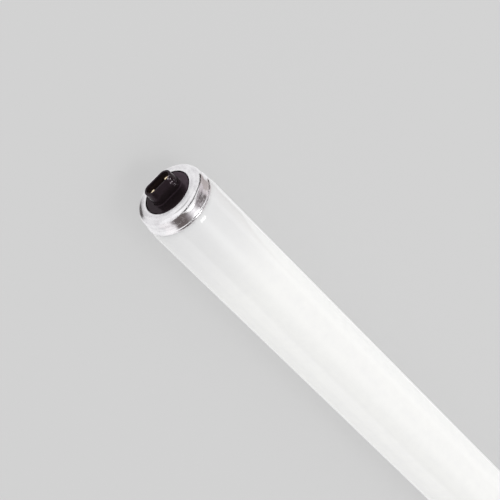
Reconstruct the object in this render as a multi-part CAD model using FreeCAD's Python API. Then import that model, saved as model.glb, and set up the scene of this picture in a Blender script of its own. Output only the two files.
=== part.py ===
"""Straight fluorescent tube, 38 mm across, with a recessed double-contact cap on each end.

A sealed glass bulb, white-coated inside, carries an aluminium cap shell cemented on each end.
Each shell holds a black moulded insulator with a stadium-shaped plug.  Down the plug's oval mouth are two
pockets, each lined by a flared brass contact.  A lead wire runs from the bulb's glass stem to each contact.

Millimetres.  X runs along the tube, Y along the long side of the plugs and Z up.  The origin is the
middle of the tube.  Each cap is drawn in its own frame: the flat face of its shell lies in x = 0,
and x counts the depth into the lamp.
"""

import FreeCAD, Part
import math
import os

# Sealed glass bulb
GLASS_DIAMETER = 38.1
GLASS_WALL = 0.9
FACE_TO_FACE = 540.0  # over the flat faces of the two cap shells
STEM_BORE = 11.2  # inside diameter of the glass stem that runs back into the bulb
STEM_LIP_RADIUS = 1.5  # rounding where the stem turns out into the bulb's end
STEM_DEPTH = 28.0  # from the cap's face to the floor of the stem's bore
PRESS_LENGTH = 7.0  # solid glass at the stem's inner end, which seals the leads

# Aluminium cap shell
CAP_STEP = 0.95  # the skirt's radius is this much less than the glass's
CAP_SHEET = 0.35
CAP_HOLE_DIAMETER = 24.9
CAP_CURL_RADIUS = 0.45  # the edge of the hole curls inwards
CAP_CURL_DEPTH = 1.0
CAP_FACE_WIDTH = 0.9  # flat ring from the curl out to the rounded shoulder
CAP_RUN_RADIUS = 8.0  # the skirt widens towards its mouth in a slight curve and a taper
CAP_RUN_SLOPE_DEG = 4.0
CAP_TAPER_LENGTH = 1.0
CAP_FLARE_RADIUS = 1.0  # then it flares to the rolled lip
CAP_FLARE_SLOPE_DEG = 42.0
CAP_LIP_RADIUS = 1.0
CAP_LIP_TURN_DEG = 40.0  # how far the lip rolls in again past its highest line
SKIRT_GAP = 0.7  # between the lip's inner edge and the glass

# Moulded insulator
FLANGE_THICKNESS = 2.05  # the flange lies against the inside of the shell's face
BULB_GAP = 0.8  # between the flange's back and the bulb's end
CURL_SIDE_GAP = 0.25  # room round the shell's curled edge in the flange's groove
CURL_END_GAP = 0.3
DISC_GAP = 0.45  # between the visible disc and the curled edge
DISC_RECESS = 0.3  # the disc lies this far behind the shell's face
DISC_EDGE_RADIUS = 0.5

# Plug on the insulator
PLUG_HEIGHT = 8.0  # from the shell's face to the plug's end
PLUG_CENTRES = 8.0  # between the centres of its two round ends
PLUG_END_RADIUS = 3.85
PLUG_DRAFT_DEG = 4.0
PLUG_EDGE_FILLET = 0.45
PLUG_ROOT_FILLET = 0.6
MOUTH_WALL = 1.1  # round the oval mouth at the plug's end
MOUTH_DEPTH = 3.2  # from the plug's end to the tops of the contacts
MOUTH_CHAMFER = 0.2
WELL_DROP = 1.2  # from the tops of the contacts to the web, down the full width of the mouth
POCKET_WEB = 1.8  # between the two pockets
POCKET_LEDGE = 0.7  # sloping ledge from the mouth in to the pocket's end, which carries the contact's flare
POCKET_DEPTH = 6.0  # from the plug's end to the pockets' floors

# Brass contact
CONTACT_SHEET = 0.3
CONTACT_GAP = 0.03  # between the contact and its pocket
CONTACT_FLANK = 0.5  # straight run past the half-round wall
CONTACT_FOOT = 1.6  # the foot's reach from the round end's centre towards the web

# Lead wire
LEAD_DIAMETER = 0.6
LEAD_HOLE_GAP = 0.3  # round the wire in the insulator
LEAD_FOOT_GAP = 0.05  # round the wire in the contact's foot
LEAD_SPACING = 5.0  # between the two leads where the glass seals them
LEAD_STRAIGHT = 1.5  # straight run behind the insulator
LEAD_SPLAY = 8.0  # length over which the leads spread to the contacts
LEAD_BEND_RADIUS = 5.0
WELD_RADIUS = 0.55  # bead that welds the wire to the contact
WELD_LIFT_DEG = 20.0  # how far the bead bulges past a half-ball

# Basing cement
CEMENT_WIDTH = 4.85  # radial width at the insulator's flange

# Places worked out from the sizes above
GLASS_RADIUS = GLASS_DIAMETER / 2
CAP_RADIUS = GLASS_RADIUS - CAP_STEP
CAP_INNER_RADIUS = CAP_RADIUS - CAP_SHEET
CAP_HOLE_RADIUS = CAP_HOLE_DIAMETER / 2
FLANGE_BACK = CAP_SHEET + FLANGE_THICKNESS

BULB_END_DEPTH = FLANGE_BACK + BULB_GAP
BULB_CROWN_RADIUS = STEM_BORE / 2 + STEM_LIP_RADIUS
BULB_END_ROUNDING = GLASS_RADIUS - BULB_CROWN_RADIUS
BULB_SHOULDER_DEPTH = BULB_END_DEPTH + BULB_END_ROUNDING


def bulb_depth_at(radius):
    """Depth at which the bulb's rounded end reaches a radius."""
    rise = radius - BULB_CROWN_RADIUS
    return BULB_SHOULDER_DEPTH - math.sqrt(BULB_END_ROUNDING ** 2 - rise ** 2)


def bulb_radius_at(depth):
    """Radius of the bulb's rounded end at a depth."""
    run = BULB_SHOULDER_DEPTH - depth
    return BULB_CROWN_RADIUS + math.sqrt(BULB_END_ROUNDING ** 2 - run ** 2)


RUN_SLOPE = math.radians(CAP_RUN_SLOPE_DEG)
FLARE_SLOPE = math.radians(CAP_FLARE_SLOPE_DEG)
LIP_TURN = math.radians(CAP_LIP_TURN_DEG)
RUN_TO_FLARE = CAP_RUN_RADIUS - CAP_FLARE_RADIUS
FLARE_TO_LIP = CAP_FLARE_RADIUS + CAP_LIP_RADIUS
TAPER_X = CAP_TAPER_LENGTH * math.cos(RUN_SLOPE)
TAPER_RISE = CAP_TAPER_LENGTH * math.sin(RUN_SLOPE)
FLARE_CENTRE_RADIUS = CAP_RADIUS + CAP_RUN_RADIUS - RUN_TO_FLARE * math.cos(RUN_SLOPE) + TAPER_RISE
LIP_CENTRE_RADIUS = FLARE_CENTRE_RADIUS - FLARE_TO_LIP * math.cos(FLARE_SLOPE)
LIP_INNER = CAP_LIP_RADIUS - CAP_SHEET
LIP_EDGE_DEPTH = bulb_depth_at(LIP_CENTRE_RADIUS + LIP_INNER * math.cos(LIP_TURN) - SKIRT_GAP)
LIP_DEPTH = LIP_EDGE_DEPTH - LIP_INNER * math.sin(LIP_TURN)
FLARE_DEPTH = LIP_DEPTH - FLARE_TO_LIP * math.sin(FLARE_SLOPE)
RUN_START = FLARE_DEPTH - RUN_TO_FLARE * math.sin(RUN_SLOPE) - TAPER_X
FLANGE_RADIUS = CAP_HOLE_RADIUS + CAP_CURL_RADIUS + CAP_FACE_WIDTH
SHOULDER_RADIUS = CAP_RADIUS - FLANGE_RADIUS
MOUTH_RADIUS = PLUG_END_RADIUS - MOUTH_WALL
MOUTH_FLOOR = MOUTH_DEPTH - PLUG_HEIGHT
POCKET_RADIUS = MOUTH_RADIUS - POCKET_LEDGE
POCKET_TOP = MOUTH_FLOOR + POCKET_LEDGE
POCKET_FLOOR = POCKET_DEPTH - PLUG_HEIGHT
CONTACT_RADIUS = POCKET_RADIUS - CONTACT_GAP
FOOT_TOP = POCKET_FLOOR - CONTACT_SHEET


def point(x, radius):
    """Point of a turned profile, which lies in the XY plane."""
    return FreeCAD.Vector(x, radius, 0)


def line(start, end):
    return Part.LineSegment(point(*start), point(*end)).toShape()


def arc(centre, radius, start_deg, end_deg):
    """Round stretch of a turned profile; 0 degrees points along +X and 90 away from the axis."""
    on_arc = []
    for angle in (start_deg, (start_deg + end_deg) / 2, end_deg):
        turn = math.radians(angle)
        on_arc.append(point(centre[0] + radius * math.cos(turn), centre[1] + radius * math.sin(turn)))
    return Part.Arc(*on_arc).toShape()


def arc_through(start, middle, end):
    return Part.Arc(point(*start), point(*middle), point(*end)).toShape()


def turned(edges):
    """Solid of revolution about the lamp's axis."""
    profile = Part.Face(Part.Wire(Part.__sortEdges__(edges)))
    return profile.revolve(FreeCAD.Vector(0, 0, 0), FreeCAD.Vector(1, 0, 0), 360)


def bulb_body(inset, stem_floor):
    """Body bounded by the glass surface that lies inset below the bulb's outside."""
    bore = STEM_BORE / 2 + inset
    lip_depth = BULB_END_DEPTH + STEM_LIP_RADIUS
    half = FACE_TO_FACE / 2
    left_end = [
        line((stem_floor, 0), (stem_floor, bore)),
        line((stem_floor, bore), (lip_depth, bore)),
        arc((lip_depth, BULB_CROWN_RADIUS), STEM_LIP_RADIUS - inset, 270, 180),
        arc((BULB_SHOULDER_DEPTH, BULB_CROWN_RADIUS), BULB_END_ROUNDING - inset, 180, 90),
    ]
    edges = []
    for edge in left_end:
        edge.translate(FreeCAD.Vector(-half, 0, 0))
        edges.append(edge)
        edges.append(edge.mirror(FreeCAD.Vector(0, 0, 0), FreeCAD.Vector(1, 0, 0)))
    for depth, radius in ((BULB_SHOULDER_DEPTH, GLASS_RADIUS - inset), (stem_floor, 0)):
        edges.append(line((depth - half, radius), (half - depth, radius)))
    return turned(edges)


def glass_tube():
    """Hollow bulb with a stem sealed into each end, all one glass."""
    return bulb_body(0, STEM_DEPTH).cut(bulb_body(GLASS_WALL, STEM_DEPTH + PRESS_LENGTH))


def cap_shell():
    """Drawn cup with a curled hole in its face, and a flare and rolled lip along its mouth."""
    shoulder = (SHOULDER_RADIUS, FLANGE_RADIUS)
    curl = (CAP_CURL_RADIUS, CAP_HOLE_RADIUS + CAP_CURL_RADIUS)
    curl_inner = CAP_HOLE_RADIUS + CAP_SHEET
    run = (RUN_START, CAP_RADIUS + CAP_RUN_RADIUS)
    flare = (FLARE_DEPTH, FLARE_CENTRE_RADIUS)
    lip = (LIP_DEPTH, LIP_CENTRE_RADIUS)
    run_end = 270 + CAP_RUN_SLOPE_DEG
    flare_end = 270 + CAP_FLARE_SLOPE_DEG
    lip_start = 90 + CAP_FLARE_SLOPE_DEG
    lip_end = 90 - CAP_LIP_TURN_DEG
    tapers = []
    for radius in (CAP_RUN_RADIUS, CAP_RUN_RADIUS + CAP_SHEET):
        start = (run[0] + radius * math.sin(RUN_SLOPE), run[1] - radius * math.cos(RUN_SLOPE))
        tapers.append(line(start, (start[0] + TAPER_X, start[1] + TAPER_RISE)))
    lip_edge = [
        (lip[0] + radius * math.sin(LIP_TURN), lip[1] + radius * math.cos(LIP_TURN))
        for radius in (CAP_LIP_RADIUS, LIP_INNER)
    ]
    return turned([
        *tapers,
        line((0, curl[1]), (0, shoulder[1])),
        arc(shoulder, SHOULDER_RADIUS, 180, 90),
        line((shoulder[0], CAP_RADIUS), (RUN_START, CAP_RADIUS)),
        arc(run, CAP_RUN_RADIUS, 270, run_end),
        arc(flare, CAP_FLARE_RADIUS, run_end, flare_end),
        arc(lip, CAP_LIP_RADIUS, lip_start, lip_end),
        line(*lip_edge),
        arc(lip, LIP_INNER, lip_end, lip_start),
        arc(flare, CAP_FLARE_RADIUS + CAP_SHEET, flare_end, run_end),
        arc(run, CAP_RUN_RADIUS + CAP_SHEET, run_end, 270),
        line((RUN_START, CAP_INNER_RADIUS), (shoulder[0], CAP_INNER_RADIUS)),
        arc(shoulder, SHOULDER_RADIUS - CAP_SHEET, 90, 180),
        line((CAP_SHEET, shoulder[1]), (CAP_SHEET, curl[1])),
        arc(curl, CAP_CURL_RADIUS - CAP_SHEET, 180, 270),
        line((curl[0], curl_inner), (CAP_CURL_DEPTH, curl_inner)),
        line((CAP_CURL_DEPTH, curl_inner), (CAP_CURL_DEPTH, CAP_HOLE_RADIUS)),
        line((CAP_CURL_DEPTH, CAP_HOLE_RADIUS), (curl[0], CAP_HOLE_RADIUS)),
        arc(curl, CAP_CURL_RADIUS, 270, 180),
    ])


def stadium(x, radius):
    """Cross-section of the plug: two half-circles joined by straight sides."""
    offset = PLUG_CENTRES / 2
    corners = [
        FreeCAD.Vector(x, side * offset, side * rise * radius)
        for side in (1, -1)
        for rise in (-1, 1)
    ]
    edges = []
    for index, side in ((0, 1), (2, -1)):
        start = corners[index]
        end = corners[index + 1]
        tip = FreeCAD.Vector(x, side * (offset + radius), 0)
        edges.append(Part.Arc(start, tip, end).toShape())
        edges.append(Part.LineSegment(end, corners[(index + 2) % 4]).toShape())
    return Part.Wire(edges)


def half_round(x, side, inner, radius):
    """Outline with one half-round end, on the axis of one of the plug's round ends.

    The distance of its flat end from the lamp's axis is inner.
    """
    centre = PLUG_CENTRES / 2
    corners = [
        FreeCAD.Vector(x, side * across, rise * radius)
        for across, rise in ((inner, -1), (centre, -1), (centre, 1), (inner, 1))
    ]
    tip = FreeCAD.Vector(x, side * (centre + radius), 0)
    return Part.Wire([
        Part.LineSegment(corners[0], corners[1]).toShape(),
        Part.Arc(corners[1], tip, corners[2]).toShape(),
        Part.LineSegment(corners[2], corners[3]).toShape(),
        Part.LineSegment(corners[3], corners[0]).toShape(),
    ])


def flared_column(floor, side, inner, radius):
    """Half-round column from x = floor out to the mouth's floor, flared by the ledge at its top."""
    outline = half_round(floor, side, inner, radius)
    straight = Part.Face(outline).extrude(FreeCAD.Vector(POCKET_TOP - floor, 0, 0))
    flare = Part.makeLoft([
        half_round(POCKET_TOP, side, inner, radius),
        half_round(MOUTH_FLOOR, side, inner, radius + POCKET_LEDGE),
    ], True, True)
    return straight.fuse(flare)


def edges_in_plane(shape, x, reach_y, reach_z):
    """Edges that lie in the plane at x, within a reach of the lamp's axis."""
    found = []
    for edge in shape.Edges:
        box = edge.BoundBox
        flat = max(abs(box.XMin - x), abs(box.XMax - x)) < 1e-4
        if flat and max(box.YMax, -box.YMin) < reach_y and max(box.ZMax, -box.ZMin) < reach_z:
            found.append(edge)
    return found


def insulator_disc():
    """Flange behind the shell's face, with a groove for the shell's curl round the visible disc."""
    disc_radius = CAP_HOLE_RADIUS - DISC_GAP
    edge = (DISC_RECESS + DISC_EDGE_RADIUS, disc_radius - DISC_EDGE_RADIUS)
    groove_floor = CAP_CURL_DEPTH + CURL_END_GAP
    groove_outer = CAP_HOLE_RADIUS + CAP_CURL_RADIUS + CURL_SIDE_GAP
    return turned([
        line((DISC_RECESS, 0), (DISC_RECESS, edge[1])),
        arc(edge, DISC_EDGE_RADIUS, 180, 90),
        line((edge[0], disc_radius), (groove_floor, disc_radius)),
        line((groove_floor, disc_radius), (groove_floor, groove_outer)),
        line((groove_floor, groove_outer), (CAP_SHEET, groove_outer)),
        line((CAP_SHEET, groove_outer), (CAP_SHEET, FLANGE_RADIUS)),
        line((CAP_SHEET, FLANGE_RADIUS), (FLANGE_BACK, FLANGE_RADIUS)),
        line((FLANGE_BACK, FLANGE_RADIUS), (FLANGE_BACK, 0)),
        line((FLANGE_BACK, 0), (DISC_RECESS, 0)),
    ])


def plug():
    """Drafted stadium plug with a rounded rim, an oval mouth, a well and a pocket for each contact."""
    root_radius = PLUG_END_RADIUS + (PLUG_HEIGHT + DISC_RECESS) * math.tan(math.radians(PLUG_DRAFT_DEG))
    outlines = [stadium(DISC_RECESS, root_radius), stadium(-PLUG_HEIGHT, PLUG_END_RADIUS)]
    body = Part.makeLoft(outlines, True, True)
    rim = edges_in_plane(body, -PLUG_HEIGHT, PLUG_CENTRES / 2 + root_radius, root_radius)
    body = body.makeFillet(min(PLUG_EDGE_FILLET, MOUTH_WALL / 2), rim)
    mouth = Part.Face(stadium(-PLUG_HEIGHT, MOUTH_RADIUS)).extrude(FreeCAD.Vector(MOUTH_DEPTH, 0, 0))
    well_half = PLUG_CENTRES / 2 - CONTACT_FLANK
    well_corner = FreeCAD.Vector(MOUTH_FLOOR, -well_half, -MOUTH_RADIUS)
    well = Part.makeBox(WELL_DROP, 2 * well_half, 2 * MOUTH_RADIUS, well_corner)
    pockets = [flared_column(POCKET_FLOOR, side, POCKET_WEB / 2, POCKET_RADIUS) for side in (1, -1)]
    body = body.cut(mouth.multiFuse([well, *pockets]))
    mouth_reach = MOUTH_RADIUS + MOUTH_WALL / 4
    mouth_edges = edges_in_plane(body, -PLUG_HEIGHT, PLUG_CENTRES / 2 + mouth_reach, mouth_reach)
    return body.makeChamfer(min(MOUTH_CHAMFER, MOUTH_WALL / 4), mouth_edges)


def base_insulator():
    """Disc and plug moulded as one, with a wire hole from each pocket out of the back."""
    body = insulator_disc().fuse(plug())
    flat_radius = CAP_HOLE_RADIUS - DISC_GAP - DISC_EDGE_RADIUS
    root = edges_in_plane(body, DISC_RECESS, flat_radius, flat_radius)
    body = body.makeFillet(PLUG_ROOT_FILLET, root)
    hole_radius = LEAD_DIAMETER / 2 + LEAD_HOLE_GAP
    for side in (1, -1):
        start = FreeCAD.Vector(POCKET_FLOOR, side * PLUG_CENTRES / 2, 0)
        hole = Part.makeCylinder(hole_radius, FLANGE_BACK - POCKET_FLOOR, start, FreeCAD.Vector(1, 0, 0))
        body = body.cut(hole)
    return body


def contact(side):
    """Formed brass strip: a half-round wall that lines the pocket's end, flared at its top, and a foot."""
    centre = PLUG_CENTRES / 2
    foot_outline = half_round(POCKET_FLOOR, side, centre - CONTACT_FOOT, CONTACT_RADIUS)
    foot = Part.Face(foot_outline).extrude(FreeCAD.Vector(-CONTACT_SHEET, 0, 0))
    wall = flared_column(POCKET_FLOOR, side, centre - CONTACT_FLANK, CONTACT_RADIUS)
    inside = flared_column(FOOT_TOP, side, centre - CONTACT_FOOT, CONTACT_RADIUS - CONTACT_SHEET)
    hole_start = FreeCAD.Vector(POCKET_FLOOR, side * centre, 0)
    hole = Part.makeCylinder(
        LEAD_DIAMETER / 2 + LEAD_FOOT_GAP, CONTACT_SHEET, hole_start, FreeCAD.Vector(-1, 0, 0)
    )
    return foot.fuse(wall.cut(inside)).removeSplitter().cut(hole)


def bent_path(corners, bend_radius):
    """Straight runs joined by tangent arcs."""
    edges = []
    here = corners[0]
    for before, corner, after in zip(corners, corners[1:], corners[2:]):
        back = (before - corner).normalize()
        ahead = (after - corner).normalize()
        half_angle = back.getAngle(ahead) / 2
        bisector = (back + ahead).normalize()
        tangent_length = bend_radius / math.tan(half_angle)
        start = corner + back * tangent_length
        end = corner + ahead * tangent_length
        middle = corner + bisector * (bend_radius / math.sin(half_angle) - bend_radius)
        edges.append(Part.LineSegment(here, start).toShape())
        edges.append(Part.Arc(start, middle, end).toShape())
        here = end
    edges.append(Part.LineSegment(here, corners[-1]).toShape())
    return Part.Wire(edges)


def lead_wire(side):
    """Wire from the stem's seal through the insulator, welded on top of the contact's foot."""
    splay_end = FLANGE_BACK + LEAD_STRAIGHT
    seal_offset = side * LEAD_SPACING / 2
    contact_offset = side * PLUG_CENTRES / 2
    corners = [
        FreeCAD.Vector(STEM_DEPTH, seal_offset, 0),
        FreeCAD.Vector(splay_end + LEAD_SPLAY, seal_offset, 0),
        FreeCAD.Vector(splay_end, contact_offset, 0),
        FreeCAD.Vector(FOOT_TOP - WELD_RADIUS / 2, contact_offset, 0),
    ]
    section = Part.Wire(Part.makeCircle(LEAD_DIAMETER / 2, corners[0], FreeCAD.Vector(1, 0, 0)))
    wire = bent_path(corners, LEAD_BEND_RADIUS).makePipeShell([section], True, False)
    lift = WELD_RADIUS * math.sin(math.radians(WELD_LIFT_DEG))
    weld_centre = FreeCAD.Vector(FOOT_TOP - lift, contact_offset, 0)
    weld = Part.makeSphere(WELD_RADIUS, weld_centre, FreeCAD.Vector(-1, 0, 0), -WELD_LIFT_DEG, 90, 360)
    return wire.fuse(weld)


def basing_cement():
    """Ring of cement from the flange out to the skirt's widening, between its wall and the bulb's end."""
    inner = CAP_INNER_RADIUS - CEMENT_WIDTH
    start = max(FLANGE_BACK, SHOULDER_RADIUS)
    end = RUN_START
    meets_bulb = bulb_depth_at(inner)
    middle = (meets_bulb + end) / 2
    return turned([
        line((FLANGE_BACK, inner), (meets_bulb, inner)),
        arc_through((meets_bulb, inner), (middle, bulb_radius_at(middle)), (end, bulb_radius_at(end))),
        line((end, bulb_radius_at(end)), (end, CAP_INNER_RADIUS)),
        line((end, CAP_INNER_RADIUS), (start, CAP_INNER_RADIUS)),
        line((start, CAP_INNER_RADIUS), (FLANGE_BACK, FLANGE_RADIUS)),
        line((FLANGE_BACK, FLANGE_RADIUS), (FLANGE_BACK, inner)),
    ])


def placed(shape, end):
    """A cap's piece moved from the cap's own frame to one end of the tube."""
    moved = shape.copy()
    if end == "right":
        moved.rotate(FreeCAD.Vector(0, 0, 0), FreeCAD.Vector(0, 0, 1), 180)
        moved.translate(FreeCAD.Vector(FACE_TO_FACE / 2, 0, 0))
    else:
        moved.translate(FreeCAD.Vector(-FACE_TO_FACE / 2, 0, 0))
    return moved


# The right-hand cap is turned half round Z, so its pieces change sides in Y.
nodes = {"glass_tube": glass_tube()}
for end, front in (("left", -1), ("right", 1)):
    nodes[f"{end}_cap_shell"] = placed(cap_shell(), end)
    nodes[f"{end}_base_insulator"] = placed(base_insulator(), end)
    nodes[f"{end}_basing_cement"] = placed(basing_cement(), end)
    for place, side in (("front", front), ("rear", -front)):
        nodes[f"{end}_{place}_contact"] = placed(contact(side), end)
        nodes[f"{end}_{place}_lead_wire"] = placed(lead_wire(side), end)

os.makedirs("parts", exist_ok=True)
for name, shape in nodes.items():
    shape.exportStep(f"parts/{name}.step")
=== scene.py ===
from math import cos, radians, sin

import bpy
from mathutils import Matrix, Vector
from numpy import interp


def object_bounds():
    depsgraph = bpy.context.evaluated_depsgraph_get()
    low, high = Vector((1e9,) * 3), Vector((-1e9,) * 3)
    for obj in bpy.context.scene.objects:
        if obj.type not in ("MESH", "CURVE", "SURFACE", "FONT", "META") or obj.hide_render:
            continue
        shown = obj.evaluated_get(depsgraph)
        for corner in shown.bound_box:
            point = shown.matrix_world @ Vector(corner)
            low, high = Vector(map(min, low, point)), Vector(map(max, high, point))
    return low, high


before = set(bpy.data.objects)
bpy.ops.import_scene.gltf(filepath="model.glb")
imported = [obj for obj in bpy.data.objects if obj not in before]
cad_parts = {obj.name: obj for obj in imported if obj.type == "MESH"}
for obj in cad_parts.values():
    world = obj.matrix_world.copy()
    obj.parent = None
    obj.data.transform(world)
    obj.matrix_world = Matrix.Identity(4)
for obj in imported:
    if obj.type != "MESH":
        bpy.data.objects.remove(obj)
cad_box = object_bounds()


# Glass tube
# A long bulb of soda-lime glass tubing, 38 mm across, coated inside with white phosphor powder.
# The tubing is drawn from the furnace, and its ends are rounded in the flame and sealed to the stems.

MM = 0.001
COAT_WHITE = "#F5F5F3"
COAT_THIN = "#F0F0EF"
# Painted shade: the grey the coat goes to near the caps.
PAINTED_END_SHADE_GREY = "#E0E0E1"
COAT_THIN_FROM = 0.15
COAT_THIN_TO = 0.40
COAT_THIN_SHARE = 0.8
COAT_MOTTLE = 5.0 * MM
COAT_RUN_LENGTH = 300.0 * MM
COAT_RUN_WIDTH = 7.0 * MM
END_SHADE_FULL = 262.0 * MM
END_SHADE_LENGTH = 75.0 * MM
END_SHADE_SHARE = 0.8
DRAW_LINE_LENGTH = 400.0 * MM
DRAW_LINE_WIDTH = 4.0 * MM
DRAW_LINE_DEPTH = 0.004 * MM
POWDER_ROUGHNESS = 0.65
GLASS_ROUGHNESS = 0.04
GLASS_IOR = 1.52


def linear(hex_colour):
    """An sRGB hex colour as linear RGBA."""
    levels = [int(hex_colour[i:i + 2], 16) / 255 for i in (1, 3, 5)]
    return (*[v / 12.92 if v <= 0.04045 else ((v + 0.055) / 1.055) ** 2.4 for v in levels], 1.0)


def add_node(tree, kind, inputs=None, **settings):
    """A new node with its settings. An input that is an output socket is linked, any other is set."""
    made = tree.nodes.new(kind)
    for name, value in settings.items():
        setattr(made, name, value)
    for name, value in (inputs or {}).items():
        if isinstance(value, bpy.types.NodeSocket):
            tree.links.new(value, made.inputs[name])
        else:
            made.inputs[name].default_value = value
    return made


def new_material(name):
    """An empty node material, its tree and its output node."""
    made = bpy.data.materials.new(name)
    made.use_nodes = True
    made.node_tree.nodes.clear()
    return made, made.node_tree, add_node(made.node_tree, "ShaderNodeOutputMaterial")


def dress(material, *nodes):
    """Gives CAD nodes this material."""
    for name in nodes:
        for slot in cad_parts[name].material_slots:
            slot.material = material


# Phosphor-coated drawn glass: the powder gives an even soft white with faint lengthwise runs where the wash
# dried, a little grey near the ends is painted shade by the caps, and the clear glass over it gives sharp,
# slightly wavering reflections.
coated_glass, tree, output = new_material("phosphor_coated_drawn_glass")
place = add_node(tree, "ShaderNodeTexCoord").outputs["Object"]
runs_place = add_node(tree, "ShaderNodeMapping", {
    "Vector": place, "Scale": (1 / COAT_RUN_LENGTH, 1 / COAT_RUN_WIDTH, 1 / COAT_RUN_WIDTH)})
runs = add_node(tree, "ShaderNodeTexNoise", {
    "Vector": runs_place.outputs["Vector"], "Scale": 1.0, "Detail": 2.0})
mottle = add_node(tree, "ShaderNodeTexNoise", {"Vector": place, "Scale": 1 / COAT_MOTTLE, "Detail": 3.0})
unevenness = add_node(tree, "ShaderNodeMath", {
    0: runs.outputs["Fac"], 1: mottle.outputs["Fac"]}, operation="MULTIPLY")
thin_share = add_node(tree, "ShaderNodeMapRange", {
    "Value": unevenness.outputs["Value"], "From Min": COAT_THIN_FROM, "From Max": COAT_THIN_TO,
    "To Max": COAT_THIN_SHARE})
coat_colour = add_node(tree, "ShaderNodeMix", {
    "Factor": thin_share.outputs["Result"], "A": linear(COAT_WHITE), "B": linear(COAT_THIN)},
    data_type="RGBA")
along = add_node(tree, "ShaderNodeSeparateXYZ", {"Vector": place})
from_middle = add_node(tree, "ShaderNodeMath", {0: along.outputs["X"]}, operation="ABSOLUTE")
# Painted shade: the coat greys towards both ends, by the caps.
end_share = add_node(tree, "ShaderNodeMapRange", {
    "Value": from_middle.outputs["Value"], "From Min": END_SHADE_FULL - END_SHADE_LENGTH,
    "From Max": END_SHADE_FULL, "To Max": END_SHADE_SHARE}, interpolation_type="SMOOTHSTEP")
shaded_colour = add_node(tree, "ShaderNodeMix", {
    "Factor": end_share.outputs["Result"], "A": coat_colour.outputs["Result"],
    "B": linear(PAINTED_END_SHADE_GREY)}, data_type="RGBA")
lines_place = add_node(tree, "ShaderNodeMapping", {
    "Vector": place, "Scale": (1 / DRAW_LINE_LENGTH, 1 / DRAW_LINE_WIDTH, 1 / DRAW_LINE_WIDTH)})
lines = add_node(tree, "ShaderNodeTexNoise", {
    "Vector": lines_place.outputs["Vector"], "Scale": 1.0, "Detail": 1.0})
drawn = add_node(tree, "ShaderNodeBump", {"Height": lines.outputs["Fac"], "Distance": DRAW_LINE_DEPTH})
glass = add_node(tree, "ShaderNodeBsdfPrincipled", {
    "Base Color": shaded_colour.outputs["Result"], "Roughness": POWDER_ROUGHNESS, "Specular IOR Level": 0.0,
    "Coat Weight": 1.0, "Coat Roughness": GLASS_ROUGHNESS, "Coat IOR": GLASS_IOR,
    "Coat Normal": drawn.outputs["Normal"]})
tree.links.new(glass.outputs["BSDF"], output.inputs["Surface"])
dress(coated_glass, "glass_tube")


# Lead wires
# Two nickel-plated wires at each end carry the current from the contacts into the bulb.
# They are drawn wire, sealed into the glass stem, led through the insulator and welded to the contacts.

NICKEL_BRIGHT = "#C9C4BA"
NICKEL_DULL = "#A29D94"
TARNISH_PATCH = 1.5 * MM
WIRE_BRIGHT_ROUGHNESS = 0.22
WIRE_DULL_ROUGHNESS = 0.42

# Nickel-plated drawn wire: warm grey metal, a little duller in patches where welding heat has reached it.
nickel_wire, tree, output = new_material("nickel_plated_drawn_wire")
place = add_node(tree, "ShaderNodeTexCoord").outputs["Object"]
tarnish = add_node(tree, "ShaderNodeTexNoise", {"Vector": place, "Scale": 1 / TARNISH_PATCH, "Detail": 3.0})
wire_colour = add_node(tree, "ShaderNodeMix", {
    "Factor": tarnish.outputs["Fac"], "A": linear(NICKEL_BRIGHT), "B": linear(NICKEL_DULL)},
    data_type="RGBA")
wire_roughness = add_node(tree, "ShaderNodeMapRange", {
    "Value": tarnish.outputs["Fac"], "To Min": WIRE_BRIGHT_ROUGHNESS, "To Max": WIRE_DULL_ROUGHNESS})
wire = add_node(tree, "ShaderNodeBsdfPrincipled", {
    "Base Color": wire_colour.outputs["Result"], "Metallic": 1.0,
    "Roughness": wire_roughness.outputs["Result"]})
tree.links.new(wire.outputs["BSDF"], output.inputs["Surface"])
dress(
    nickel_wire, "left_front_lead_wire", "left_rear_lead_wire",
    "right_front_lead_wire", "right_rear_lead_wire")


# Basing cement
# A ring of tan cement inside each cap's skirt, which holds the cap on the glass.
# It is resin mixed with stone powder, laid in the shell as a paste and baked hard.

CEMENT_TAN = "#B79B72"
CEMENT_BROWN = "#94774F"
CEMENT_GRAIN = 0.4 * MM
CEMENT_GRAIN_DEPTH = 0.08 * MM
CEMENT_ROUGHNESS = 0.9

# Baked basing cement: matt, grainy, light brown with darker grains.
basing_cement, tree, output = new_material("baked_basing_cement")
place = add_node(tree, "ShaderNodeTexCoord").outputs["Object"]
grains = add_node(tree, "ShaderNodeTexNoise", {"Vector": place, "Scale": 1 / CEMENT_GRAIN, "Detail": 4.0})
cement_colour = add_node(tree, "ShaderNodeMix", {
    "Factor": grains.outputs["Fac"], "A": linear(CEMENT_TAN), "B": linear(CEMENT_BROWN)},
    data_type="RGBA")
grit = add_node(tree, "ShaderNodeBump", {"Height": grains.outputs["Fac"], "Distance": CEMENT_GRAIN_DEPTH})
cement = add_node(tree, "ShaderNodeBsdfPrincipled", {
    "Base Color": cement_colour.outputs["Result"], "Roughness": CEMENT_ROUGHNESS,
    "Normal": grit.outputs["Normal"]})
tree.links.new(cement.outputs["BSDF"], output.inputs["Surface"])
dress(basing_cement, "left_basing_cement", "right_basing_cement")


# Cap shells
# A cup drawn from thin aluminium sheet at each end, with a flat ring face, a rounded shoulder, a bright skirt
# and a flared, rolled lip at its mouth. It is slipped over the bulb's end and baked on with the cement.

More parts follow.
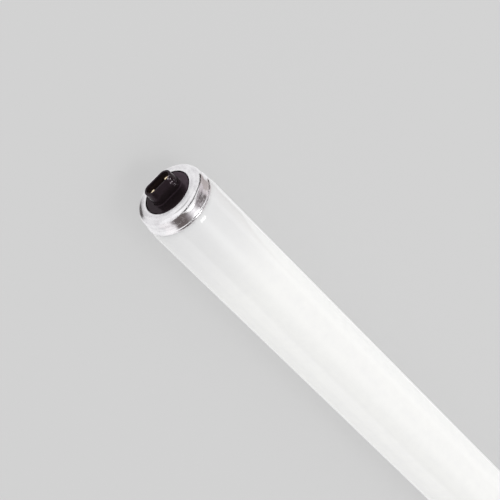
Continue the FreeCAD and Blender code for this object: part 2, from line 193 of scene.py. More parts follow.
ALUMINIUM_BRIGHT = "#F2F1F3"
ALUMINIUM_DULL = "#D8D6D9"
FACE_START = 269.7 * MM
FACE_END = 269.95 * MM
FACE_CROWN = 0.05
SKIRT_ROUGHNESS = 0.11
FACE_ROUGHNESS = 0.40
SMUDGE_SIZE = 6.0 * MM
SMUDGE_FROM = 0.3
SMUDGE_TO = 0.7
SMUDGE_ROUGHNESS = 0.06
BLOOM_SPOT = 1.3 * MM
BLOOM_FROM = 0.5
BLOOM_TO = 0.68
BLOOM_ROUGHNESS = 0.22
STREAK_FROM = 0.15
STREAK_TO = 0.36
STREAK_WIDTH = 1.3 * MM
STREAK_SLICE = 2.0 * MM
DRAWN_RING_PITCH = 0.5 * MM
DRAWN_RING_DEPTH = 0.0012 * MM
SHEET_WAVE = 9.0 * MM
SHEET_WAVE_DEPTH = 0.04 * MM

# Drawn bright aluminium: the skirt is ironed smooth in the die and mirrors its surroundings in long bands.
# The pressed face is duller and a hair crowned, which its reflections show. Dull streaks and fine rings run
# round the cap as it was drawn, the rings coarser than the real 0.1 mm so that they show, and small spots of
# bloom break up the mirror.
drawn_aluminium, tree, output = new_material("bright_drawn_aluminium")
place = add_node(tree, "ShaderNodeTexCoord").outputs["Object"]
parts = add_node(tree, "ShaderNodeSeparateXYZ", {"Vector": place})
across = add_node(tree, "ShaderNodeCombineXYZ", {"Y": parts.outputs["Y"], "Z": parts.outputs["Z"]})
radius = add_node(tree, "ShaderNodeVectorMath", {0: across.outputs["Vector"]}, operation="LENGTH")
section = add_node(tree, "ShaderNodeCombineXYZ", {
    "X": parts.outputs["X"], "Y": radius.outputs["Value"], "Z": STREAK_SLICE})
rings = add_node(tree, "ShaderNodeTexNoise", {
    "Vector": section.outputs["Vector"], "Scale": 1 / DRAWN_RING_PITCH, "Detail": 2.0})
smudges = add_node(tree, "ShaderNodeTexNoise", {
    "Vector": place, "Scale": 1 / SMUDGE_SIZE, "Detail": 5.0, "Roughness": 0.7})
bloom = add_node(tree, "ShaderNodeTexNoise", {"Vector": place, "Scale": 1 / BLOOM_SPOT, "Detail": 3.0})
waves = add_node(tree, "ShaderNodeTexNoise", {"Vector": place, "Scale": 1 / SHEET_WAVE, "Detail": 0.0})
streaks = add_node(tree, "ShaderNodeTexNoise", {
    "Vector": section.outputs["Vector"], "Scale": 1 / STREAK_WIDTH, "Detail": 2.0})
unevenness = add_node(tree, "ShaderNodeMath", {
    0: streaks.outputs["Fac"], 1: smudges.outputs["Fac"]}, operation="MULTIPLY")
dull_share = add_node(tree, "ShaderNodeMapRange", {
    "Value": unevenness.outputs["Value"], "From Min": STREAK_FROM, "From Max": STREAK_TO})
shell_colour = add_node(tree, "ShaderNodeMix", {
    "Factor": dull_share.outputs["Result"], "A": linear(ALUMINIUM_BRIGHT), "B": linear(ALUMINIUM_DULL)},
    data_type="RGBA")
from_middle = add_node(tree, "ShaderNodeMath", {0: parts.outputs["X"]}, operation="ABSOLUTE")
on_face = add_node(tree, "ShaderNodeMapRange", {
    "Value": from_middle.outputs["Value"], "From Min": FACE_START, "From Max": FACE_END})
face_share = add_node(tree, "ShaderNodeMapRange", {
    "Value": on_face.outputs["Result"], "To Min": SKIRT_ROUGHNESS, "To Max": FACE_ROUGHNESS})
smudge_share = add_node(tree, "ShaderNodeMapRange", {
    "Value": smudges.outputs["Fac"], "From Min": SMUDGE_FROM, "From Max": SMUDGE_TO,
    "To Max": SMUDGE_ROUGHNESS})
bloom_share = add_node(tree, "ShaderNodeMapRange", {
    "Value": bloom.outputs["Fac"], "From Min": BLOOM_FROM, "From Max": BLOOM_TO, "To Max": BLOOM_ROUGHNESS})
dulled = add_node(tree, "ShaderNodeMath", {
    0: face_share.outputs["Result"], 1: smudge_share.outputs["Result"]}, operation="ADD")
shell_roughness = add_node(tree, "ShaderNodeMath", {
    0: dulled.outputs["Value"], 1: bloom_share.outputs["Result"]}, operation="ADD")
outward = add_node(tree, "ShaderNodeVectorMath", {0: across.outputs["Vector"]}, operation="NORMALIZE")
lean = add_node(tree, "ShaderNodeMath", {0: on_face.outputs["Result"], 1: FACE_CROWN}, operation="MULTIPLY")
leaning = add_node(tree, "ShaderNodeVectorMath", {
    0: outward.outputs["Vector"], "Scale": lean.outputs["Value"]}, operation="SCALE")
surface = add_node(tree, "ShaderNodeNewGeometry").outputs["Normal"]
crowned = add_node(tree, "ShaderNodeVectorMath", {0: surface, 1: leaning.outputs["Vector"]}, operation="ADD")
upright = add_node(tree, "ShaderNodeVectorMath", {0: crowned.outputs["Vector"]}, operation="NORMALIZE")
wavy = add_node(tree, "ShaderNodeBump", {
    "Height": waves.outputs["Fac"], "Distance": SHEET_WAVE_DEPTH, "Normal": upright.outputs["Vector"]})
ringed = add_node(tree, "ShaderNodeBump", {
    "Height": rings.outputs["Fac"], "Distance": DRAWN_RING_DEPTH, "Normal": wavy.outputs["Normal"]})
shell = add_node(tree, "ShaderNodeBsdfPrincipled", {
    "Base Color": shell_colour.outputs["Result"], "Metallic": 1.0,
    "Roughness": shell_roughness.outputs["Value"], "Normal": ringed.outputs["Normal"]})
tree.links.new(shell.outputs["BSDF"], output.inputs["Surface"])
dress(drawn_aluminium, "left_cap_shell", "right_cap_shell")


# Base insulators
# A black phenolic moulding in each cap's hole: a disc whose edge groove holds the shell's curl, and a plug
# with an oval mouth over the two contact pockets. It is moulded in one piece and held by the shell.

PHENOLIC_BLACK = "#1E181A"
PHENOLIC_FILLER = "#2B2427"
PHENOLIC_SHEEN = "#F6CCEC"
PHENOLIC_IOR = 1.5
PHENOLIC_SHEEN_LEVEL = 0.19
FILLER_GRAIN = 0.35 * MM
FILLER_FROM = 0.5
FILLER_TO = 0.75
# Painted light: the lighter brown down the plug's mouth.
MOUTH_PAINTED_LIGHT_BROWN = "#342927"
MOUTH_HALF_LENGTH = 4.0 * MM
MOUTH_INSIDE = 2.9 * MM
MOUTH_OUTSIDE = 3.3 * MM
MOUTH_LIGHT_START = 277.4 * MM
MOUTH_LIGHT_FULL = 276.0 * MM
# Painted sheen: a patchy grey on the disc's rear side, given as dust.
SHEEN_DUST_GREY = "#40333C"
SHEEN_DUST_PATCH = 2.5 * MM
SHEEN_DUST_FROM = 0.35
SHEEN_DUST_TO = 0.6
SHEEN_DUST_LEAST = 0.6
SHEEN_DUST_START = 5.0 * MM
SHEEN_DUST_END = 10.0 * MM
# Pale scuff specks, which also paint small glints on the plug's rear end.
SCUFF_GLINT_PALE = "#DDD4DA"
SCUFF_GLINT_SIZE = 0.9 * MM
SCUFF_GLINT_FROM = 0.59
SCUFF_GLINT_TO = 0.66
SCUFF_GLINT_ROUGHNESS = 0.4
SCUFF_GLINT_START = 3.9 * MM
SCUFF_GLINT_FULL = 4.6 * MM
SCUFF_GLINT_FADE = 5.6 * MM
SCUFF_GLINT_END = 6.8 * MM
PLUG_START = 270.6 * MM
PLUG_END = 271.6 * MM
GLOSS_ROUGHNESS = 0.12
RIPPLE_ROUGHNESS = 0.22
RIPPLE_FROM = 0.3
RIPPLE_TO = 0.7
MOULD_RIPPLE = 1.4 * MM
MOULD_RIPPLE_DEPTH = 0.006 * MM

# Moulded phenolic with wood-flour filler: nearly black, glossy from the polished mould, with a fine fleck and
# a slight ripple in the gloss. Below its rim the mouth is painted a lighter brown, as painted light in that
# recess. A patchy dust grey on the rear of the disc is painted sheen, and pale scuff specks near the plug's
# rear end paint small glints there as well as scuffs.
moulded_phenolic, tree, output = new_material("black_moulded_phenolic")
place = add_node(tree, "ShaderNodeTexCoord").outputs["Object"]
fleck = add_node(tree, "ShaderNodeTexNoise", {"Vector": place, "Scale": 1 / FILLER_GRAIN, "Detail": 3.0})
fleck_share = add_node(tree, "ShaderNodeMapRange", {
    "Value": fleck.outputs["Fac"], "From Min": FILLER_FROM, "From Max": FILLER_TO})
phenolic_colour = add_node(tree, "ShaderNodeMix", {
    "Factor": fleck_share.outputs["Result"], "A": linear(PHENOLIC_BLACK), "B": linear(PHENOLIC_FILLER)},
    data_type="RGBA")
parts = add_node(tree, "ShaderNodeSeparateXYZ", {"Vector": place})
from_middle = add_node(tree, "ShaderNodeMath", {0: parts.outputs["X"]}, operation="ABSOLUTE")
plug_share = add_node(tree, "ShaderNodeMapRange", {
    "Value": from_middle.outputs["Value"], "From Min": PLUG_START, "From Max": PLUG_END})
aside = add_node(tree, "ShaderNodeMath", {0: parts.outputs["Y"]}, operation="ABSOLUTE")
past_flank = add_node(tree, "ShaderNodeMath", {
    0: aside.outputs["Value"], 1: MOUTH_HALF_LENGTH}, operation="SUBTRACT")
round_end = add_node(tree, "ShaderNodeMath", {0: past_flank.outputs["Value"], 1: 0.0}, operation="MAXIMUM")
from_spine = add_node(tree, "ShaderNodeCombineXYZ", {
    "Y": round_end.outputs["Value"], "Z": parts.outputs["Z"]})
spine_distance = add_node(tree, "ShaderNodeVectorMath", {0: from_spine.outputs["Vector"]}, operation="LENGTH")
inside_share = add_node(tree, "ShaderNodeMapRange", {
    "Value": spine_distance.outputs["Value"], "From Min": MOUTH_INSIDE, "From Max": MOUTH_OUTSIDE,
    "To Min": 1.0, "To Max": 0.0})
below_rim = add_node(tree, "ShaderNodeMapRange", {
    "Value": from_middle.outputs["Value"], "From Min": MOUTH_LIGHT_FULL, "From Max": MOUTH_LIGHT_START,
    "To Min": 1.0, "To Max": 0.0})
down_mouth = add_node(tree, "ShaderNodeMath", {
    0: inside_share.outputs["Result"], 1: below_rim.outputs["Result"]}, operation="MULTIPLY")
mouth_light_share = add_node(tree, "ShaderNodeMath", {
    0: down_mouth.outputs["Value"], 1: plug_share.outputs["Result"]}, operation="MULTIPLY")
# Painted light: below the rim the mouth goes over to a lighter brown.
mouth_lit_colour = add_node(tree, "ShaderNodeMix", {
    "Factor": mouth_light_share.outputs["Value"], "A": phenolic_colour.outputs["Result"], "B": linear(MOUTH_PAINTED_LIGHT_BROWN)},
    data_type="RGBA")
# Painted glints: pale scuff specks on the plug's outside near its rear end.
rear_start = add_node(tree, "ShaderNodeMapRange", {
    "Value": parts.outputs["Y"], "From Min": SCUFF_GLINT_START, "From Max": SCUFF_GLINT_FULL})
rear_end = add_node(tree, "ShaderNodeMapRange", {
    "Value": parts.outputs["Y"], "From Min": SCUFF_GLINT_FADE, "From Max": SCUFF_GLINT_END, "To Min": 1.0, "To Max": 0.0})
rear_share = add_node(tree, "ShaderNodeMath", {
    0: rear_start.outputs["Result"], 1: rear_end.outputs["Result"]}, operation="MULTIPLY")
# Painted sheen: a patchy dust grey over the disc's rear side, off the plug.
sheen_dust_side = add_node(tree, "ShaderNodeMapRange", {
    "Value": parts.outputs["Y"], "From Min": SHEEN_DUST_START, "From Max": SHEEN_DUST_END})
off_plug = add_node(tree, "ShaderNodeMath", {0: 1.0, 1: plug_share.outputs["Result"]}, operation="SUBTRACT")
sheen_dust_noise = add_node(tree, "ShaderNodeTexNoise", {"Vector": place, "Scale": 1 / SHEEN_DUST_PATCH, "Detail": 3.0})
sheen_dust_patches = add_node(tree, "ShaderNodeMapRange", {
    "Value": sheen_dust_noise.outputs["Fac"], "From Min": SHEEN_DUST_FROM, "From Max": SHEEN_DUST_TO, "To Min": SHEEN_DUST_LEAST})
sheen_dust_disc = add_node(tree, "ShaderNodeMath", {
    0: sheen_dust_side.outputs["Result"], 1: off_plug.outputs["Value"]}, operation="MULTIPLY")
sheen_dust_share = add_node(tree, "ShaderNodeMath", {
    0: sheen_dust_disc.outputs["Value"], 1: sheen_dust_patches.outputs["Result"]}, operation="MULTIPLY")
sheen_dust_colour = add_node(tree, "ShaderNodeMix", {
    "Factor": sheen_dust_share.outputs["Value"], "A": mouth_lit_colour.outputs["Result"], "B": linear(SHEEN_DUST_GREY)},
    data_type="RGBA")
specks = add_node(tree, "ShaderNodeTexNoise", {"Vector": place, "Scale": 1 / SCUFF_GLINT_SIZE, "Detail": 2.0})
speck_share = add_node(tree, "ShaderNodeMapRange", {
    "Value": specks.outputs["Fac"], "From Min": SCUFF_GLINT_FROM, "From Max": SCUFF_GLINT_TO})
on_rear = add_node(tree, "ShaderNodeMath", {
    0: rear_share.outputs["Value"], 1: plug_share.outputs["Result"]}, operation="MULTIPLY")
outside_share = add_node(tree, "ShaderNodeMath", {
    0: 1.0, 1: inside_share.outputs["Result"]}, operation="SUBTRACT")
scuff_glint_area = add_node(tree, "ShaderNodeMath", {
    0: on_rear.outputs["Value"], 1: outside_share.outputs["Value"]}, operation="MULTIPLY")
scuff_glints = add_node(tree, "ShaderNodeMath", {
    0: scuff_glint_area.outputs["Value"], 1: speck_share.outputs["Result"]}, operation="MULTIPLY")
scuff_glint_colour = add_node(tree, "ShaderNodeMix", {
    "Factor": scuff_glints.outputs["Value"], "A": sheen_dust_colour.outputs["Result"], "B": linear(SCUFF_GLINT_PALE)},
    data_type="RGBA")
ripple = add_node(tree, "ShaderNodeTexNoise", {"Vector": place, "Scale": 1 / MOULD_RIPPLE, "Detail": 2.0})
mould_gloss = add_node(tree, "ShaderNodeMapRange", {
    "Value": ripple.outputs["Fac"], "From Min": RIPPLE_FROM, "From Max": RIPPLE_TO,
    "To Min": GLOSS_ROUGHNESS, "To Max": RIPPLE_ROUGHNESS})
scuff_glint_matt = add_node(tree, "ShaderNodeMath", {
    0: scuff_glints.outputs["Value"], 1: SCUFF_GLINT_ROUGHNESS}, operation="MULTIPLY")
phenolic_roughness = add_node(tree, "ShaderNodeMath", {
    0: mould_gloss.outputs["Result"], 1: scuff_glint_matt.outputs["Value"]}, operation="ADD")
rippled = add_node(tree, "ShaderNodeBump", {"Height": ripple.outputs["Fac"], "Distance": MOULD_RIPPLE_DEPTH})
phenolic = add_node(tree, "ShaderNodeBsdfPrincipled", {
    "Base Color": scuff_glint_colour.outputs["Result"], "Roughness": phenolic_roughness.outputs["Value"],
    "IOR": PHENOLIC_IOR, "Specular IOR Level": PHENOLIC_SHEEN_LEVEL,
    "Specular Tint": linear(PHENOLIC_SHEEN),
    "Normal": rippled.outputs["Normal"]})
tree.links.new(phenolic.outputs["BSDF"], output.inputs["Surface"])
dress(moulded_phenolic, "left_base_insulator", "right_base_insulator")


# Contacts
# Two contacts of thin brass strip at each end, formed to line the plug's pockets and flared at the mouth.
# Each has a foot at its bottom, which its lead wire passes through and is welded to.

BRASS_BRIGHT = "#F0E6D0"
BRASS_TARNISHED = "#CDB284"
BRASS_PATCH = 0.8 * MM
BRASS_BRIGHT_ROUGHNESS = 0.12
BRASS_DULL_ROUGHNESS = 0.30

# Stamped brass: warm yellow metal, half bright, browner in small patches where it has been handled.
stamped_brass, tree, output = new_material("stamped_brass")
place = add_node(tree, "ShaderNodeTexCoord").outputs["Object"]
patches = add_node(tree, "ShaderNodeTexNoise", {"Vector": place, "Scale": 1 / BRASS_PATCH, "Detail": 3.0})
brass_colour = add_node(tree, "ShaderNodeMix", {
    "Factor": patches.outputs["Fac"], "A": linear(BRASS_BRIGHT), "B": linear(BRASS_TARNISHED)},
    data_type="RGBA")
brass_roughness = add_node(tree, "ShaderNodeMapRange", {
    "Value": patches.outputs["Fac"], "To Min": BRASS_BRIGHT_ROUGHNESS, "To Max": BRASS_DULL_ROUGHNESS})
brass = add_node(tree, "ShaderNodeBsdfPrincipled", {
    "Base Color": brass_colour.outputs["Result"], "Metallic": 1.0,
    "Roughness": brass_roughness.outputs["Result"]})
tree.links.new(brass.outputs["BSDF"], output.inputs["Surface"])
dress(stamped_brass, "left_front_contact", "left_rear_contact", "right_front_contact", "right_rear_contact")


# Floor
# A sheet of plain pale grey paper that the tube lies on, wide enough to fill every view.
# It is no part of the object, and only takes its soft shadow and shows in its gloss.

PAPER_GREY = "#D2D2D2"
PAPER_LIT = "#F4F4F4"
PAPER_REFLECTED = "#FFFFFF"
REFLECTED_SHADOW = 0.30
FLOOR_HALF = 12.0
PLAIN_NEAR = 0.35
PLAIN_FAR = 1.2
SHADOW_SHARE = 0.28

floor_z = cad_box[0][2]
floor_mesh = bpy.data.meshes.new("paper_floor")
floor_mesh.from_pydata(
    [(-FLOOR_HALF, -FLOOR_HALF, floor_z), (FLOOR_HALF, -FLOOR_HALF, floor_z),
     (FLOOR_HALF, FLOOR_HALF, floor_z), (-FLOOR_HALF, FLOOR_HALF, floor_z)], [], [(0, 1, 2, 3)])
floor = bpy.data.objects.new("paper_floor", floor_mesh)
bpy.context.collection.objects.link(floor)

# Matt paper: near the tube it is lit paper that takes the soft shadow, and further off it goes over to one
# plain tone. In metal and gloss it shows as bright as the lit sheet around the tube.
matt_paper, tree, output = new_material("matt_grey_paper")
place = add_node(tree, "ShaderNodeTexCoord").outputs["Object"]
ray = add_node(tree, "ShaderNodeLightPath")
lit = add_node(tree, "ShaderNodeBsdfDiffuse", {"Color": linear(PAPER_GREY)})
plain = add_node(tree, "ShaderNodeEmission", {"Color": linear(PAPER_GREY)})
bright = add_node(tree, "ShaderNodeBsdfDiffuse", {"Color": linear(PAPER_LIT)})
shine = add_node(tree, "ShaderNodeEmission", {"Color": linear(PAPER_REFLECTED)})
reflected = add_node(tree, "ShaderNodeMixShader", {
    "Fac": REFLECTED_SHADOW, 1: shine.outputs["Emission"], 2: bright.outputs["BSDF"]})
distance = add_node(tree, "ShaderNodeVectorMath", {0: place}, operation="LENGTH")
lit_share = add_node(tree, "ShaderNodeMapRange", {
    "Value": distance.outputs["Value"], "From Min": PLAIN_NEAR, "From Max": PLAIN_FAR,
    "To Min": SHADOW_SHARE, "To Max": 0.0}, interpolation_type="SMOOTHSTEP")
seen = add_node(tree, "ShaderNodeMixShader", {
    "Fac": lit_share.outputs["Result"], 1: plain.outputs["Emission"], 2: lit.outputs["BSDF"]})
seen_share = add_node(tree, "ShaderNodeMath", {
    0: ray.outputs["Is Camera Ray"], 1: ray.outputs["Is Transmission Ray"]}, operation="MAXIMUM")
direct = add_node(tree, "ShaderNodeMixShader", {
    "Fac": seen_share.outputs["Value"], 1: bright.outputs["BSDF"], 2: seen.outputs["Shader"]})
paper = add_node(tree, "ShaderNodeMixShader", {
    "Fac": ray.outputs["Is Glossy Ray"], 1: direct.outputs["Shader"], 2: reflected.outputs["Shader"]})
tree.links.new(paper.outputs["Shader"], output.inputs["Surface"])
floor_mesh.materials.append(matt_paper)


# Surroundings
# The room beyond the floor gives an even light from all round.
# Where it is seen, directly or in gloss, it has the same pale grey as the paper.

ROOM_LIGHT = 0.86

world = bpy.data.worlds.new("pale_room")
world.use_nodes = True
world.node_tree.nodes.clear()
tree = world.node_tree
ray = add_node(tree, "ShaderNodeLightPath")
seen_or_glossy = add_node(tree, "ShaderNodeMath", {
    0: ray.outputs["Is Camera Ray"], 1: ray.outputs["Is Glossy Ray"]}, operation="MAXIMUM")
seen_share = add_node(tree, "ShaderNodeMath", {
    0: seen_or_glossy.outputs["Value"], 1: ray.outputs["Is Transmission Ray"]}, operation="MAXIMUM")
room = add_node(tree, "ShaderNodeBackground", {"Color": (1.0, 1.0, 1.0, 1.0), "Strength": ROOM_LIGHT})
backdrop = add_node(tree, "ShaderNodeBackground", {"Color": linear(PAPER_GREY), "Strength": 1.0})
surroundings = add_node(tree, "ShaderNodeMixShader", {
    "Fac": seen_share.outputs["Value"], 1: room.outputs["Background"], 2: backdrop.outputs["Background"]})
output = add_node(tree, "ShaderNodeOutputWorld", {"Surface": surroundings.outputs["Shader"]})
bpy.context.scene.world = world


# Overhead lamp
# A broad soft box above the tube, a little to the rear.
# It gives the soft shadow and the small highlight on the glass beside the cap.

LAMP_LENGTH = 0.36
LAMP_WIDTH = 0.46
LAMP_HEIGHT = 1.3
LAMP_TILT = radians(17.5)
LAMP_POWER = 2.6

lamp_data = bpy.data.lights.new("overhead_soft_box", "AREA")
lamp_data.shape = "RECTANGLE"
lamp_data.size = LAMP_LENGTH
lamp_data.size_y = LAMP_WIDTH
lamp_data.energy = LAMP_POWER
lamp = bpy.data.objects.new("overhead_soft_box", lamp_data)
lamp.location = (0.0, LAMP_HEIGHT * sin(LAMP_TILT), LAMP_HEIGHT * cos(LAMP_TILT))
lamp.rotation_euler = (-LAMP_TILT, 0.0, 0.0)
lamp.visible_camera = False
bpy.context.collection.objects.link(lamp)


# Rear lamp
# A larger and weaker soft box, low on the rear side.
# It lifts that side of the glass, and isn't seen in gloss.

REAR_LAMP_SIZE = 1.0
REAR_LAMP_DISTANCE = 1.8
REAR_LAMP_TILT = radians(50.0)
REAR_LAMP_POWER = 1.5

rear_lamp_data = bpy.data.lights.new("rear_soft_box", "AREA")
rear_lamp_data.size = REAR_LAMP_SIZE
rear_lamp_data.energy = REAR_LAMP_POWER
rear_lamp = bpy.data.objects.new("rear_soft_box", rear_lamp_data)
rear_lamp.location = (
    0.0, REAR_LAMP_DISTANCE * sin(REAR_LAMP_TILT), REAR_LAMP_DISTANCE * cos(REAR_LAMP_TILT))
rear_lamp.rotation_euler = (-REAR_LAMP_TILT, 0.0, 0.0)
rear_lamp.visible_camera = False
rear_lamp.visible_glossy = False
bpy.context.collection.objects.link(rear_lamp)


# Light tent
# A long half-round tent of paper over the tube, lit from outside, pale at the front and brightest above, with
# a dark gap before the top and a grey cloth behind it. It is seen in gloss only, and gives the bright metal
# its bands and the glass its faint ones.

TENT_LIGHT = 1.3
TENT_RADIUS = 1.6
TENT_FRONT_X = -1.2
TENT_BACK_X = 2.8
NEAR_TONES_END = 0.25
MIDDLE_TONES_START = 0.58
MIDDLE_TONES_END = 1.00
BACK_TONES_START = 1.08
PAPER_PALE = "#EAE8E8"
GAP_DARK = "#625B5A"
PAPER_WHITE = "#FFFFFF"
PAPER_SHADED = "#948F91"
CLOTH_GREY = "#686363"
PAPER_TAN = "#C4BDBF"
# Each row is an angle from straight up, and the tones there near the left cap, in the middle and at the back.
TENT_TONES = (
    (-110.0, PAPER_PALE, PAPER_PALE, PAPER_PALE), (-58.0, PAPER_PALE, PAPER_PALE, PAPER_PALE),
    (-50.0, PAPER_SHADED, GAP_DARK, PAPER_SHADED), (-42.0, GAP_DARK, GAP_DARK, GAP_DARK),
    (-16.0, GAP_DARK, GAP_DARK, GAP_DARK), (-4.0, CLOTH_GREY, PAPER_SHADED, PAPER_SHADED),
    (13.0, PAPER_WHITE, PAPER_WHITE, PAPER_TAN), (20.0, PAPER_WHITE, PAPER_WHITE, PAPER_TAN),
    (36.0, PAPER_SHADED, PAPER_SHADED, PAPER_TAN), (52.0, PAPER_SHADED, CLOTH_GREY, PAPER_TAN),
    (64.0, PAPER_SHADED, CLOTH_GREY, PAPER_TAN), (75.0, PAPER_TAN, CLOTH_GREY, PAPER_PALE),
    (81.0, PAPER_TAN, PAPER_TAN, PAPER_PALE), (110.0, PAPER_TAN, PAPER_TAN, PAPER_PALE),
)
TENT_STEP_DEG = 5

first_deg = TENT_TONES[0][0]
last_deg = TENT_TONES[-1][0]
steps = int((last_deg - first_deg) / TENT_STEP_DEG)
ribs = [radians(first_deg + TENT_STEP_DEG * i) for i in range(steps + 1)]


def strip_faces(count):
    """The faces of a strip of two-point lines, each joined to the next."""
    return [(2 * i, 2 * i + 1, 2 * i + 3, 2 * i + 2) for i in range(count - 1)]


tent_mesh = bpy.data.meshes.new("paper_tent")
tent_mesh.from_pydata(
    [(x, TENT_RADIUS * sin(rib), TENT_RADIUS * cos(rib))
     for rib in ribs for x in (TENT_FRONT_X, TENT_BACK_X)], [], strip_faces(len(ribs)))
tent = bpy.data.objects.new("paper_tent", tent_mesh)

# Lit tent paper: it glows in the tone that each stretch of the tent has.
tent_paper, tree, output = new_material("lit_tent_paper")
place = add_node(tree, "ShaderNodeTexCoord").outputs["Object"]
parts = add_node(tree, "ShaderNodeSeparateXYZ", {"Vector": place})
turn = add_node(tree, "ShaderNodeMath", {0: parts.outputs["Y"], 1: parts.outputs["Z"]}, operation="ARCTAN2")
share = add_node(tree, "ShaderNodeMapRange", {
    "Value": turn.outputs["Value"], "From Min": radians(first_deg), "From Max": radians(last_deg)})
ramps = []
for column in (1, 2, 3):
    ramp = add_node(tree, "ShaderNodeValToRGB", {"Fac": share.outputs["Result"]})
    stops = ramp.color_ramp.elements
    while len(stops) < len(TENT_TONES):
        stops.new(1.0)
    for stop, row in zip(stops, TENT_TONES):
        stop.position = (row[0] - first_deg) / (last_deg - first_deg)
        stop.color = linear(row[column])
    ramps.append(ramp.outputs["Color"])
middle_share = add_node(tree, "ShaderNodeMapRange", {
    "Value": parts.outputs["X"], "From Min": NEAR_TONES_END, "From Max": MIDDLE_TONES_START})
back_share = add_node(tree, "ShaderNodeMapRange", {
    "Value": parts.outputs["X"], "From Min": MIDDLE_TONES_END, "From Max": BACK_TONES_START})
front_tones = add_node(tree, "ShaderNodeMix", {
    "Factor": middle_share.outputs["Result"], "A": ramps[0], "B": ramps[1]}, data_type="RGBA")
tones = add_node(tree, "ShaderNodeMix", {
    "Factor": back_share.outputs["Result"], "A": front_tones.outputs["Result"], "B": ramps[2]},
    data_type="RGBA")
glow = add_node(tree, "ShaderNodeEmission", {"Color": tones.outputs["Result"], "Strength": TENT_LIGHT})
tree.links.new(glow.outputs["Emission"], output.inputs["Surface"])
tent_mesh.materials.append(tent_paper)


# Front of the tent
# The tent's end beyond the left cap is hung with white cloth, a band of dark cloth down to the floor by the
# cap, and a white strip. A tan card lies on the floor, and a dark round on it is a painted shadow beside the
# cap. All are seen in gloss only: the dark ones draw thin lines round the cap's shoulder, and the white ones
# light the contacts in the plug.

FACE_X = -270.0 * MM
WHITE_CLOTH = "#FFFFFF"
DARK_CLOTH = "#2A2727"
TAN_CARD = "#B8B0AE"
BAY_RADIUS = 1.4
BAY_FRONT = -3.0
BAY_STEP_DEG = 2
# Each row is an angle from straight up, and how far back the white cloth, the dark cloth and the white strip
# reach there, from the cap's face and as a share of the bay's radius.
BAY_EDGES = (
    (-110.0, -0.28, -0.27, -0.26), (-46.0, -0.28, -0.27, -0.26), (-34.0, -0.43, -0.41, -0.40),
    (-18.0, -0.58, -0.48, -0.47), (-6.0, -0.70, -0.38, -0.28), (0.0, -0.72, -0.31, 0.06),
    (18.0, -0.75, -0.52, 0.10), (36.0, -0.80, -0.42, 0.0), (55.0, -0.72, -0.52, -0.28),
    (77.0, -0.60, -0.37, -0.26), (88.0, -0.37, -0.14, -0.13),
)
CLOTH_LIFT = 0.5 * MM
CLOTH_LIGHT = 1.12
# Painted shadow of the tube on the floor beside the left cap, seen in the cap's face.
PAINTED_SHADOW_GREY = "#5E5A5A"
PAINTED_SHADOW_PLACE = (FACE_X - 0.5 * MM, -21.5 * MM, floor_z + CLOTH_LIFT)
PAINTED_SHADOW_RADIUS = 13.0 * MM
PAINTED_SHADOW_FULL_SHARE = 0.25
DARK_END_FRONT = FACE_X + 7.0 * MM
DARK_END_BACK = FACE_X + 15.5 * MM
DARK_END_Y = 48.0 * MM
CARD_INNER_FRONT = FACE_X + 16.0 * MM
CARD_OUTER_FRONT = FACE_X - 60.0 * MM
CARD_INNER_BACK = FACE_X + 64.0 * MM
CARD_OUTER_BACK = FACE_X + 600.0 * MM
CARD_INNER_Y = 42.0 * MM
CARD_OUTER_Y = 600.0 * MM

bay_turns, *bay_edges = zip(*BAY_EDGES)
white_lines, dark_lines, strip_lines = [], [], []
for degrees in range(int(bay_turns[0]), int(bay_turns[-1]) + 1, BAY_STEP_DEG):
    turn_y = BAY_RADIUS * sin(radians(degrees))
    turn_z = BAY_RADIUS * cos(radians(degrees))
    corners = [(FACE_X + BAY_RADIUS * BAY_FRONT, turn_y, turn_z)]
    for edge in bay_edges:
        corners.append((FACE_X + BAY_RADIUS * interp(degrees, bay_turns, edge), turn_y, turn_z))
    white_lines.append(corners[0:2])
    dark_lines.append(corners[1:3])
    strip_lines.append(corners[2:4])
cloth_z = floor_z + CLOTH_LIFT
dark_lines.append(((DARK_END_FRONT, DARK_END_Y, cloth_z), (DARK_END_BACK, DARK_END_Y, cloth_z)))
card_z = floor_z + CLOTH_LIFT / 2
tan_lines = [
    ((CARD_INNER_FRONT, CARD_INNER_Y, card_z), (CARD_INNER_BACK, CARD_INNER_Y, card_z)),
    ((CARD_OUTER_FRONT, CARD_OUTER_Y, card_z), (CARD_OUTER_BACK, CARD_OUTER_Y, card_z))]

# Lit cloth and card: each glows evenly in its own tone, so that the metal mirrors clean edges.
screens = [tent]
for name, tone, lines in (
        ("white_cloth", WHITE_CLOTH, white_lines), ("dark_cloth", DARK_CLOTH, dark_lines),
        ("white_strip", WHITE_CLOTH, strip_lines), ("tan_card", TAN_CARD, tan_lines)):
    cloth_mesh = bpy.data.meshes.new(name)
    cloth_mesh.from_pydata(
        [corner for line in lines for corner in line], [], strip_faces(len(lines)))
    cloth_face, tree, output = new_material(name)
    shine = add_node(tree, "ShaderNodeEmission", {"Color": linear(tone), "Strength": CLOTH_LIGHT})
    tree.links.new(shine.outputs["Emission"], output.inputs["Surface"])
    cloth_mesh.materials.append(cloth_face)
    screens.append(bpy.data.objects.new(name, cloth_mesh))

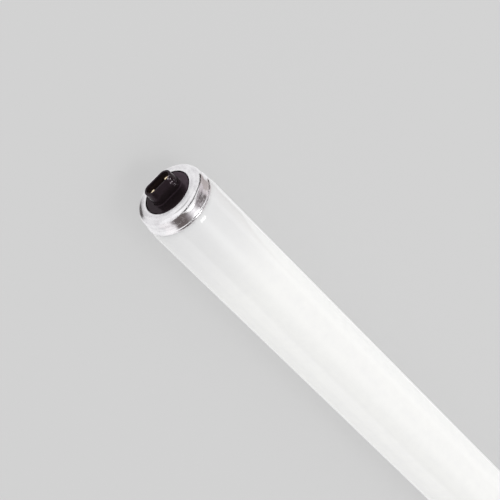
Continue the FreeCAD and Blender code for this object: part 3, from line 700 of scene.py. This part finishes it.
# Painted shadow: a dark round on the floor beside the cap, where the tube's own shadow falls, dark in the
# middle and fading out towards its edge.
painted_shadow_mesh = bpy.data.meshes.new("painted_floor_shadow")
painted_shadow_mesh.from_pydata(
    [(-PAINTED_SHADOW_RADIUS, -PAINTED_SHADOW_RADIUS, 0.0), (PAINTED_SHADOW_RADIUS, -PAINTED_SHADOW_RADIUS, 0.0),
     (PAINTED_SHADOW_RADIUS, PAINTED_SHADOW_RADIUS, 0.0), (-PAINTED_SHADOW_RADIUS, PAINTED_SHADOW_RADIUS, 0.0)], [], [(0, 1, 2, 3)])
painted_shadow_face, tree, output = new_material("painted_floor_shadow")
place = add_node(tree, "ShaderNodeTexCoord").outputs["Object"]
from_centre = add_node(tree, "ShaderNodeVectorMath", {0: place}, operation="LENGTH")
painted_shadow_share = add_node(tree, "ShaderNodeMapRange", {
    "Value": from_centre.outputs["Value"], "From Min": PAINTED_SHADOW_FULL_SHARE * PAINTED_SHADOW_RADIUS, "From Max": PAINTED_SHADOW_RADIUS,
    "To Min": 1.0, "To Max": 0.0}, interpolation_type="SMOOTHSTEP")
shine = add_node(tree, "ShaderNodeEmission", {"Color": linear(PAINTED_SHADOW_GREY)})
clear = add_node(tree, "ShaderNodeBsdfTransparent")
faded = add_node(tree, "ShaderNodeMixShader", {
    "Fac": painted_shadow_share.outputs["Result"], 1: clear.outputs["BSDF"], 2: shine.outputs["Emission"]})
tree.links.new(faded.outputs["Shader"], output.inputs["Surface"])
painted_shadow_mesh.materials.append(painted_shadow_face)
painted_shadow = bpy.data.objects.new("painted_floor_shadow", painted_shadow_mesh)
painted_shadow.location = PAINTED_SHADOW_PLACE
screens.append(painted_shadow)

for screen in screens:
    bpy.context.collection.objects.link(screen)
    screen.visible_camera = False
    screen.visible_diffuse = False
    screen.visible_shadow = False


# Camera
# It looks down on the tube's left end from beyond its cap, through a long lens.
# It is turned so that the tube runs down to the right of the picture.

FACE_CENTRE = Vector((FACE_X, 0.0, 0.0))
VIEW_TILT = radians(38.56)
VIEW_TURN = radians(44.91)
FACE_IN_PICTURE = (166.98, 192.08)
PICTURE = 500.0
LENS_IN_PIXELS = 2500.0
FACE_DISTANCE = 1173.6 * MM
SENSOR_WIDTH = 36.0

to_right = Vector((cos(VIEW_TILT) * cos(VIEW_TURN), sin(VIEW_TURN), sin(VIEW_TILT) * cos(VIEW_TURN)))
to_bottom = Vector((cos(VIEW_TILT) * sin(VIEW_TURN), -cos(VIEW_TURN), sin(VIEW_TILT) * sin(VIEW_TURN)))
forward = Vector((sin(VIEW_TILT), 0.0, -cos(VIEW_TILT)))
face_right = (FACE_IN_PICTURE[0] - PICTURE / 2) / LENS_IN_PIXELS * FACE_DISTANCE
face_down = (FACE_IN_PICTURE[1] - PICTURE / 2) / LENS_IN_PIXELS * FACE_DISTANCE
eye = FACE_CENTRE - face_right * to_right - face_down * to_bottom - FACE_DISTANCE * forward

lens = bpy.data.cameras.new("camera")
lens.sensor_width = SENSOR_WIDTH
lens.lens = lens.sensor_width * LENS_IN_PIXELS / PICTURE
camera = bpy.data.objects.new("camera", lens)
axes = Matrix((to_right, -to_bottom, -forward)).transposed()
camera.matrix_world = Matrix.Translation(eye) @ axes.to_4x4()
bpy.context.collection.objects.link(camera)
bpy.context.scene.camera = camera
bpy.context.scene.view_settings.view_transform = "Standard"
